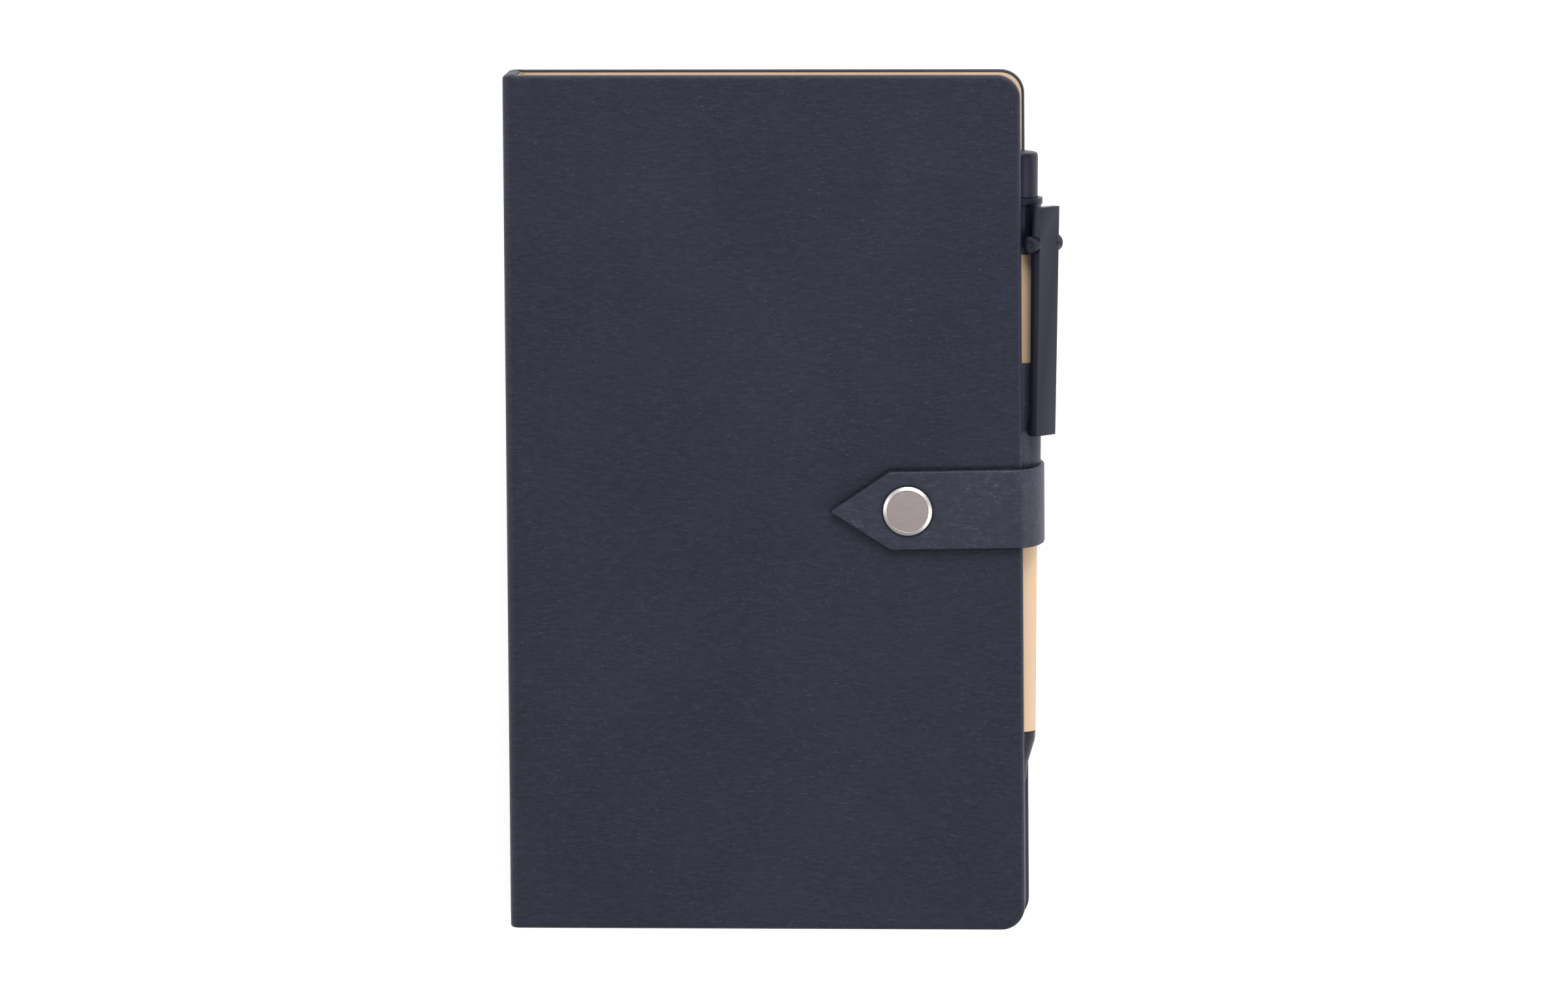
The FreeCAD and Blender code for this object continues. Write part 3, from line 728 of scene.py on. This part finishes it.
upper_path, upper_end = strap_path(tab_low[0], STRAP_HIGH, UPPER_FOLD, -1)
upper_base = strap_rows(np.linspace(0, POINT, 14), tab_low[0], UPPER_FOLD, upper_end)
strap_upper = strip(
    "strap_upper", pointed_outline(upper_base), even_thickness, STRAP_EDGE, upper_path, strap_leather, 25,
    strap_line, angle=30,
)
lower_path, lower_end = strap_path(anchor_low[0], STRAP_LOW, LOWER_FOLD, 1)
lower_base = strap_rows(np.linspace(0, 1.2, 6), anchor_low[0], LOWER_FOLD, lower_end)
strap_lower = strip(
    "strap_lower", rounded_outline(lower_base, STRAP_HALF, 1.2), even_thickness, STRAP_EDGE, lower_path,
    strap_leather, 25, strap_line, angle=30,
)
FOLD_X = STRAP_X - STRAP_THICK / 2
upper_pivot = (FOLD_X - 1.2, STRAP_HIGH - STRAP_THICK / 2 - 1.4)
lower_pivot = (FOLD_X - 0.8, STRAP_LOW + STRAP_THICK / 2 + 1.0)
bend_at(strap_upper, upper_pivot, (-1, 1), 3.6)
bend_at(strap_lower, lower_pivot, (1, 1), 2.8)
stand_for(strap_upper, ("strap_tab", "strap_side"))
stand_for(strap_lower, ("strap_anchor",))

# %% [markdown]
# ## Turned parts
#
# The snap's cap and most of the pen are turned: an outline of radius and height, spun round an axis. The
# outline's corners are eased first. Each becomes a short curve, the quadratic blend
# (1 - t)^2 p + 2 t (1 - t) q + t^2 r from a little before the corner q to a little after it.


# %% Turned parts
def ease(corners, cut, count=5):
    """A closed outline whose corners are rounded by curves that start cut mm away, or less on a short
    side."""
    corner = np.array(corners, float)

    def towards(other):
        way = other - corner
        length = np.linalg.norm(way, axis=1, keepdims=True)
        return corner + way * np.minimum(cut, 0.45 * length) / length

    start, end = towards(np.roll(corner, 1, 0)), towards(np.roll(corner, -1, 0))
    t = np.linspace(0, 1, count)[:, None, None]
    curve = (1 - t) ** 2 * start + 2 * t * (1 - t) * corner + t**2 * end
    return curve.transpose(1, 0, 2).reshape(-1, 2)


def turned(name, outline, stand, finish, count=72, angle=35):
    """Spins an outline of radius and height: stand turns radius cos a, radius sin a and height into a
    point of the row's frame."""
    outline = np.vstack([outline, outline[:1]])
    around = np.linspace(0, 2 * np.pi, count, endpoint=False)
    radius, height = outline[:, :1], np.repeat(outline[:, 1:], count, 1)
    points = stand(radius * np.cos(around), radius * np.sin(around), height)
    faces = grid_faces(len(outline), count, closed=True)
    return make_piece(name, points.reshape(-1, 3), faces, finish, angle)


# %% [markdown]
# ## Snap cap
#
# The cap is a brushed disc with a bright bevelled rim that curls over its edge. Disc and rim are two
# turned pieces, so the brushing stops at the rim as on a stamped cap.

# %% Snap cap
CAP_X, CAP_Y = snap_middle[:2]
CAP_TOP, TAB_TOP = snap_high[2], tab_high[2]
DISC = 4.35


def on_snap(across, up, height):
    return np.stack([CAP_X + across, CAP_Y + up, height], -1)


disc_outline = [
    (0, CAP_TOP - 0.5), (0, CAP_TOP - 0.03), (DISC - 0.9, CAP_TOP - 0.03), (DISC, CAP_TOP - 0.07),
    (DISC, CAP_TOP - 0.5),
]
cap_disc = turned("snap_cap_disc", ease(disc_outline, 0.0, 2), on_snap, snap_metal, 96)
rim_outline = [
    (DISC + 0.02, TAB_TOP + 0.02), (DISC + 0.02, CAP_TOP - 0.10), (DISC + 0.12, CAP_TOP - 0.02),
    (CAP_RADIUS - 0.12, CAP_TOP - 0.38), (CAP_RADIUS, CAP_TOP - 0.52), (CAP_RADIUS - 0.05, TAB_TOP + 0.26),
    (DISC + 0.2, TAB_TOP + 0.02),
]
cap_rim = turned("snap_cap_rim", ease(rim_outline, 0.12), on_snap, snap_rim_metal, 96)
stand_for(cap_disc, ("snap_cap",), "strap_flap")
stand_for(cap_rim, (), "strap_flap")

# %% [markdown]
# ## Pen
#
# The pen lies in the fore-edge gap and leans a little outwards towards the head. Everything on it is
# measured along its own axis from the writing end. Barrel, cone, collar and button are turned, with the
# small radii a mould or a paper tube leaves at their ends.

# %% Pen axis
PEN_LEAN = math.radians(0.8)
ALONG = np.array([math.sin(PEN_LEAN), math.cos(PEN_LEAN), 0.0])
ACROSS = np.array([math.cos(PEN_LEAN), -math.sin(PEN_LEAN), 0.0])
UP = np.array([0.0, 0.0, 1.0])
CLIP_TURN = math.radians(35)
TIP_END, BARREL_END, COLLAR_END, RING_END, BUTTON_END = 16.5, 118.7, 129.0, 130.5, 140.2
BARREL, BARREL_BORE = 4.75, 4.1
PEN_START = sum(box_mm("pen_barrel")) / 2 - ALONG * (TIP_END + BARREL_END) / 2
print(f"pen {BUTTON_END:.1f} mm long, leaning {math.degrees(PEN_LEAN):.1f} degrees")


def on_pen(across, up, height):
    """A point of the pen: so far across towards the fore-edge, up, and along its axis."""
    return PEN_START + across[..., None] * ACROSS + up[..., None] * UP + height[..., None] * ALONG


def pen_part(name, outline, cut, finish, node, body="pen"):
    """A turned part of the pen that stands for one frame node."""
    stand_for(turned(name, ease(outline, cut), on_pen, finish), (node,), body)


# %% Pen parts
pen_part(
    "pen_barrel_paper",
    [
        (BARREL_BORE, TIP_END + 0.03), (BARREL, TIP_END + 0.03), (BARREL, BARREL_END - 0.03),
        (BARREL_BORE, BARREL_END - 0.03),
    ],
    0.12, pen_kraft, "pen_barrel",
)
pen_part(
    "pen_tip_cone",
    [
        (1.3, 0.0), (2.0, 0.0), (2.2, 4.2), (2.85, 6.5), (3.0, 9.0), (4.62, 14.6), (4.73, TIP_END),
        (BARREL_BORE - 0.05, TIP_END), (BARREL_BORE - 0.05, TIP_END + 6), (2.6, TIP_END + 6), (2.6, 6.0),
        (1.3, 6.0),
    ],
    0.35, pen_plastic, "pen_tip",
)
pen_part(
    "pen_collar",
    [
        (3.4, BARREL_END - 6), (4.05, BARREL_END - 6), (4.05, BARREL_END), (5.0, BARREL_END),
        (5.0, COLLAR_END), (5.3, COLLAR_END + 0.1), (5.3, RING_END), (4.35, RING_END), (4.35, 121.0),
        (3.4, 121.0),
    ],
    0.18, pen_plastic, "pen_clip_mount",
)
pen_part(
    "pen_push_button",
    [
        (0.0, BUTTON_END), (3.3, BUTTON_END), (4.1, BUTTON_END - 0.25), (4.25, BUTTON_END - 0.9),
        (4.25, 126.0), (2.2, 126.0), (2.2, 113.05), (0.0, 113.05),
    ],
    0.25, pen_plastic, "pen_button", "push_button",
)


# %% [markdown]
# ## Clip and its lug
#
# The clip is a lever: a flat bar that swings on a pin through a lug on the collar. Its shape is already
# exact in the frame, so a copy of that mesh is merged, its flat faces are joined and its sharp edges get
# a small bevel, which is what the mould's parting radius looks like.


# %% Eased copies
def eased_copy(node, name, width, finish, body):
    """A copy of a frame node with its sharp edges bevelled."""
    mesh = frame["nodes"][node].data.copy()
    mesh.name = name
    work = bmesh.new()
    work.from_mesh(mesh)
    bmesh.ops.remove_doubles(work, verts=work.verts, dist=1e-7)
    bmesh.ops.dissolve_limit(work, angle_limit=math.radians(1), verts=work.verts, edges=work.edges)
    shared = [edge for edge in work.edges if len(edge.link_faces) == 2]
    folds = [edge for edge in shared if edge.calc_face_angle() > math.radians(30)]
    bevel = {"offset": width * MM, "segments": 3, "profile": 0.5, "affect": "EDGES", "clamp_overlap": True}
    bmesh.ops.bevel(work, geom=folds, **bevel)
    bmesh.ops.triangulate(work, faces=work.faces)
    bmesh.ops.recalc_face_normals(work, faces=work.faces)
    leaks = sum(not edge.is_manifold for edge in work.edges)
    work.to_mesh(mesh)
    work.free()
    mesh.materials.clear()
    mesh.materials.append(finish)
    mesh.shade_smooth()
    mesh.set_sharp_from_angle(angle=math.radians(35))
    piece = bpy.data.objects.new(name, mesh)
    bpy.context.scene.collection.objects.link(piece)
    stand_for(piece, (node,), body)
    print(f"{name}: {len(mesh.polygons)} triangles, {leaks} open edges")


eased_copy("pen_clip", "pen_clip_lever", 0.22, pen_plastic, "clip_lever")

# %% [markdown]
# ## Lug
#
# The lug stands on the collar inside the clip's slot: a small block with a rounded back, carried along
# the clip's own direction.


# %% Lug
def on_clip(out, side, height):
    """A point measured outwards under the clip, sideways, and along the pen."""
    across = out * math.cos(CLIP_TURN) + side * math.sin(CLIP_TURN)
    up = out * math.sin(CLIP_TURN) - side * math.cos(CLIP_TURN)
    return on_pen(across, up, height)


lug_outline = ease([(4.9, 119.7), (7.9, 119.7), (7.9, 122.3), (4.9, 122.3)], 0.8)
lug_side = np.array([-1.3, -1.2, 1.2, 1.3])
lug_share = np.array([0.93, 1.0, 1.0, 0.93])
lug_middle = lug_outline.mean(0)
lug_loops = lug_middle + (lug_outline - lug_middle) * lug_share[:, None, None]
lug_sides = np.repeat(lug_side[:, None], len(lug_outline), 1)
lug_points = on_clip(lug_loops[..., 0], lug_sides, lug_loops[..., 1]).reshape(-1, 3)
lug_faces = grid_faces(len(lug_side), len(lug_outline), closed=True)
lug = make_piece("pen_lug", lug_points, lug_faces, pen_plastic)
stand_for(lug, (), "pen")

# %% [markdown]
# ## Spring
#
# The refill is pushed back by a coil spring. Its wire is a circle carried along a helix, with closer
# turns at both ends where the coils touch.

# %% Spring
SPRING_LOW, SPRING_HIGH, SPRING_TURNS, WIRE = 6.1, 16.9, 11, 0.2
SPRING_RADIUS = 1.78
wind = np.linspace(0, 1, SPRING_TURNS * 20 + 1)
pitch = 0.5 - 0.5 * np.cos(np.pi * wind)
climb = SPRING_LOW + WIRE + (SPRING_HIGH - SPRING_LOW - 2 * WIRE) * (0.6 * pitch + 0.4 * wind)
swing = 2 * np.pi * SPRING_TURNS * wind
WIRE_SIDES = 8
loop = np.linspace(0, 2 * np.pi, WIRE_SIDES, endpoint=False)
reach = SPRING_RADIUS + WIRE * np.cos(loop)
spring_points = on_pen(
    reach * np.cos(swing)[:, None], reach * np.sin(swing)[:, None], climb[:, None] + WIRE * np.sin(loop)
)
spring_faces = grid_faces(len(wind), WIRE_SIDES, closed=True)
spring = make_piece("pen_return_spring", spring_points.reshape(-1, 3), spring_faces, pen_steel)
stand_for(spring, ("pen_spring",), "pen")
PRESS = next(joint["range_m"][1] for joint in frame["joints"] if joint["name"] == "refill_move") / MM
seat, far_end = on_pen(np.zeros(2), np.zeros(2), np.array([SPRING_LOW, SPRING_HIGH])) * MM
kept_length = 1 - PRESS / (SPRING_HIGH - SPRING_LOW)
(far_end - seat).tolist()
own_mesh(spring)
print("spring is pressed to a share of", round(kept_length, 2))

# %% [markdown]
# ## Pen loop
#
# A ribbon of strap leather is glued flat to the back lining, wraps once round the pen and stops where it
# meets its own foot. Its path is a straight run, then a circle about the pen.

# %% Pen loop
LOOP_RADIUS, LOOP_WALL, LOOP_FOOT = 5.35, 0.55, 6.4
LOOP_START, LOOP_HEIGHT = 73.15, 22.4
foot_x = np.linspace(-LOOP_FOOT, 0, 20)
foot_z = -LOOP_RADIUS - 0.13 * (1 - rise(foot_x, -3.5, -0.5))
sweep = np.radians(np.linspace(-90, 238, 90))[1:]
loop_path = np.concatenate(
    [np.stack([foot_x, foot_z], 1), LOOP_RADIUS * np.stack([np.cos(sweep), np.sin(sweep)], 1)]
)
loop_heading = np.gradient(loop_path, axis=0)
loop_heading /= np.linalg.norm(loop_heading, axis=1, keepdims=True)
loop_place, loop_end = follow(loop_path, loop_heading, 1)
loop_base = np.concatenate([[0, 0.15, 0.4], np.linspace(0.8, loop_end, 110)])


def loop_thickness(run):
    return np.full_like(run, LOOP_WALL)


pen_loop = strip(
    "pen_loop_leather", rounded_outline(loop_base, LOOP_HEIGHT / 2, 0.4), loop_thickness,
    edge_steps(0.2, 0.14), loop_place, strap_leather, 14, angle=30,
)
loop_mesh = pen_loop.data
flat = np.empty(len(loop_mesh.vertices) * 3)
loop_mesh.vertices.foreach_get("co", flat)
flat = flat.reshape(-1, 3) / MM
placed = on_pen(flat[:, 0], flat[:, 2], flat[:, 1] + LOOP_START + LOOP_HEIGHT / 2) * MM
loop_mesh.vertices.foreach_set("co", placed.ravel())
loop_mesh.update()
stand_for(pen_loop, ("pen_loop",), "root")

# %% [markdown]
# ## Leaves
#
# The insert's leaves are thin sheets, each cut a hair longer or shorter than the next, so the edge of
# the block shows its layers. The rear block stays on the back cover and the front block turns with the
# front leaves.


# %% Leaves
CUBE = np.array([(x, y, z) for x in (0, 1) for y in (0, 1) for z in (0, 1)], float)
CUBE_FACES = np.array([(0, 1, 3, 2), (4, 6, 7, 5), (0, 4, 5, 1), (2, 3, 7, 6), (0, 2, 6, 4), (1, 5, 7, 3)])


def leaves(name, node, count, body):
    """A stack of sheets in a node's box. Every sheet fills 0.8 of its share of the height, and its free
    edges fall short by up to 0.25 mm."""
    low, high = box_mm(node)
    short = rng.uniform(0.0, 0.25, (count, 3))
    near = np.stack([np.full(count, low[0]), low[1] + short[:, 1], np.zeros(count)], 1)
    far = np.stack([high[0] - short[:, 0], high[1] - short[:, 2], np.zeros(count)], 1)
    share = (high[2] - low[2]) / count
    near[:, 2] = low[2] + share * (np.arange(count) + 0.1)
    far[:, 2] = near[:, 2] + share * 0.8
    points = near[:, None] + (far - near)[:, None] * CUBE
    faces = CUBE_FACES[None] + 8 * np.arange(count)[:, None, None]
    piece = make_piece(name, points.reshape(-1, 3), faces.reshape(-1, 4), page_paper)
    stand_for(piece, (node,), body)


leaves("rear_leaves", "rear_pages", 64, "root")
leaves("front_leaves_stack", "front_pages", 22, "front_leaves")

# %% [markdown]
# ## Finishes on the frame's own parts
#
# The parts whose shape is already right, such as boards, cards and the snap's socket, keep their mesh and
# take a finish.

# %% Finishes for frame nodes
NODE_FINISH = {
    greyboard: ("back_board", "front_board", "spine_board"),
    insert_card: ("insert_back_card", "insert_front_card"),
    pocket_sheet: ("back_pocket",),
    spine_tape: ("insert_spine_tape",),
    snap_metal: ("snap_socket", "snap_stud", "snap_rivet"),
    pen_plastic: ("clip_pin",),
    refill_tube: ("pen_refill", "pen_cam"),
    pen_brass: ("pen_point",),
}
for finish, nodes in NODE_FINISH.items():
    for node in nodes:
        mesh = frame["nodes"][node].data
        mesh.materials.clear()
        mesh.materials.append(finish)
print("frame nodes with a finish:", sum(len(nodes) for nodes in NODE_FINISH.values()))

# %% [markdown]
# ## Floor, light and camera
#
# A white table with a large soft light over the head of the book, and a long lens almost straight above
# it, a little to the head and to the fore-edge, so the pen and the top edge just show.

# %% Floor
FLOOR, FLOOR_DROP = 3.0, -0.1 * MM
floor_mesh = bpy.data.meshes.new("floor")
floor_corners = [(x * FLOOR, y * FLOOR, FLOOR_DROP) for x, y in ((-1, -1), (1, -1), (1, 1), (-1, 1))]
floor_mesh.from_pydata(floor_corners, [], [(0, 1, 2, 3)])
floor_finish = Finish("floor", 0.9, 0.0, 0.1)
floor_finish.shader.inputs["Base Color"].default_value = (0.60, 0.60, 0.60, 1.0)
floor_finish.shader.inputs["Emission Color"].default_value = (1.0, 1.0, 1.0, 1.0)
floor_finish.shader.inputs["Emission Strength"].default_value = 0.72
floor_mesh.materials.append(floor_finish.material)
floor = bpy.data.objects.new("floor", floor_mesh)
bpy.context.scene.collection.objects.link(floor)


# %% Light
def soft_light(name, place, size, power):
    """A square area light that looks at the middle of the book."""
    lamp = bpy.data.lights.new(name, "AREA")
    lamp.size = size
    lamp.energy = power
    holder = bpy.data.objects.new(name, lamp)
    holder.location = place
    holder.rotation_euler = (-Vector(place)).to_track_quat("-Z", "Y").to_euler()
    bpy.context.scene.collection.objects.link(holder)


soft_light("head_light", (0.25, 1.15, 0.85), 0.8, 14.0)
soft_light("fore_light", (1.15, -0.55, 0.85), 0.8, 9.0)
soft_light("spine_light", (-1.2, 0.2, 0.7), 0.6, 4.0)
world = bpy.data.worlds.new("studio")
world.use_nodes = True
world.node_tree.nodes["Background"].inputs["Color"].default_value = (1.0, 1.0, 1.0, 1.0)
world.node_tree.nodes["Background"].inputs["Strength"].default_value = 0.36
bpy.context.scene.world = world
bpy.context.scene.view_settings.view_transform = "Standard"

# %% Camera
TARGET = Vector((4.37, 0.66, 16.4)) * MM
toward = Vector((math.tan(math.radians(4.6)), math.tan(math.radians(6.8)), 1.0)).normalized()
lean = math.radians(0.45)
right = Vector((math.sin(lean), math.cos(lean), 0.0)).cross(toward).normalized()
lens = bpy.data.cameras.new("camera")
lens.sensor_width = 36.0
lens.lens = 324.5
lens.clip_end = 20.0
camera = bpy.data.objects.new("camera", lens)
bpy.context.scene.collection.objects.link(camera)
turn = Matrix((right, toward.cross(right), toward)).transposed()
camera.matrix_world = Matrix.Translation(TARGET + toward * 3.0) @ turn.to_4x4()
bpy.context.scene.camera = camera
print("camera at", tuple(round(part, 3) for part in camera.location))
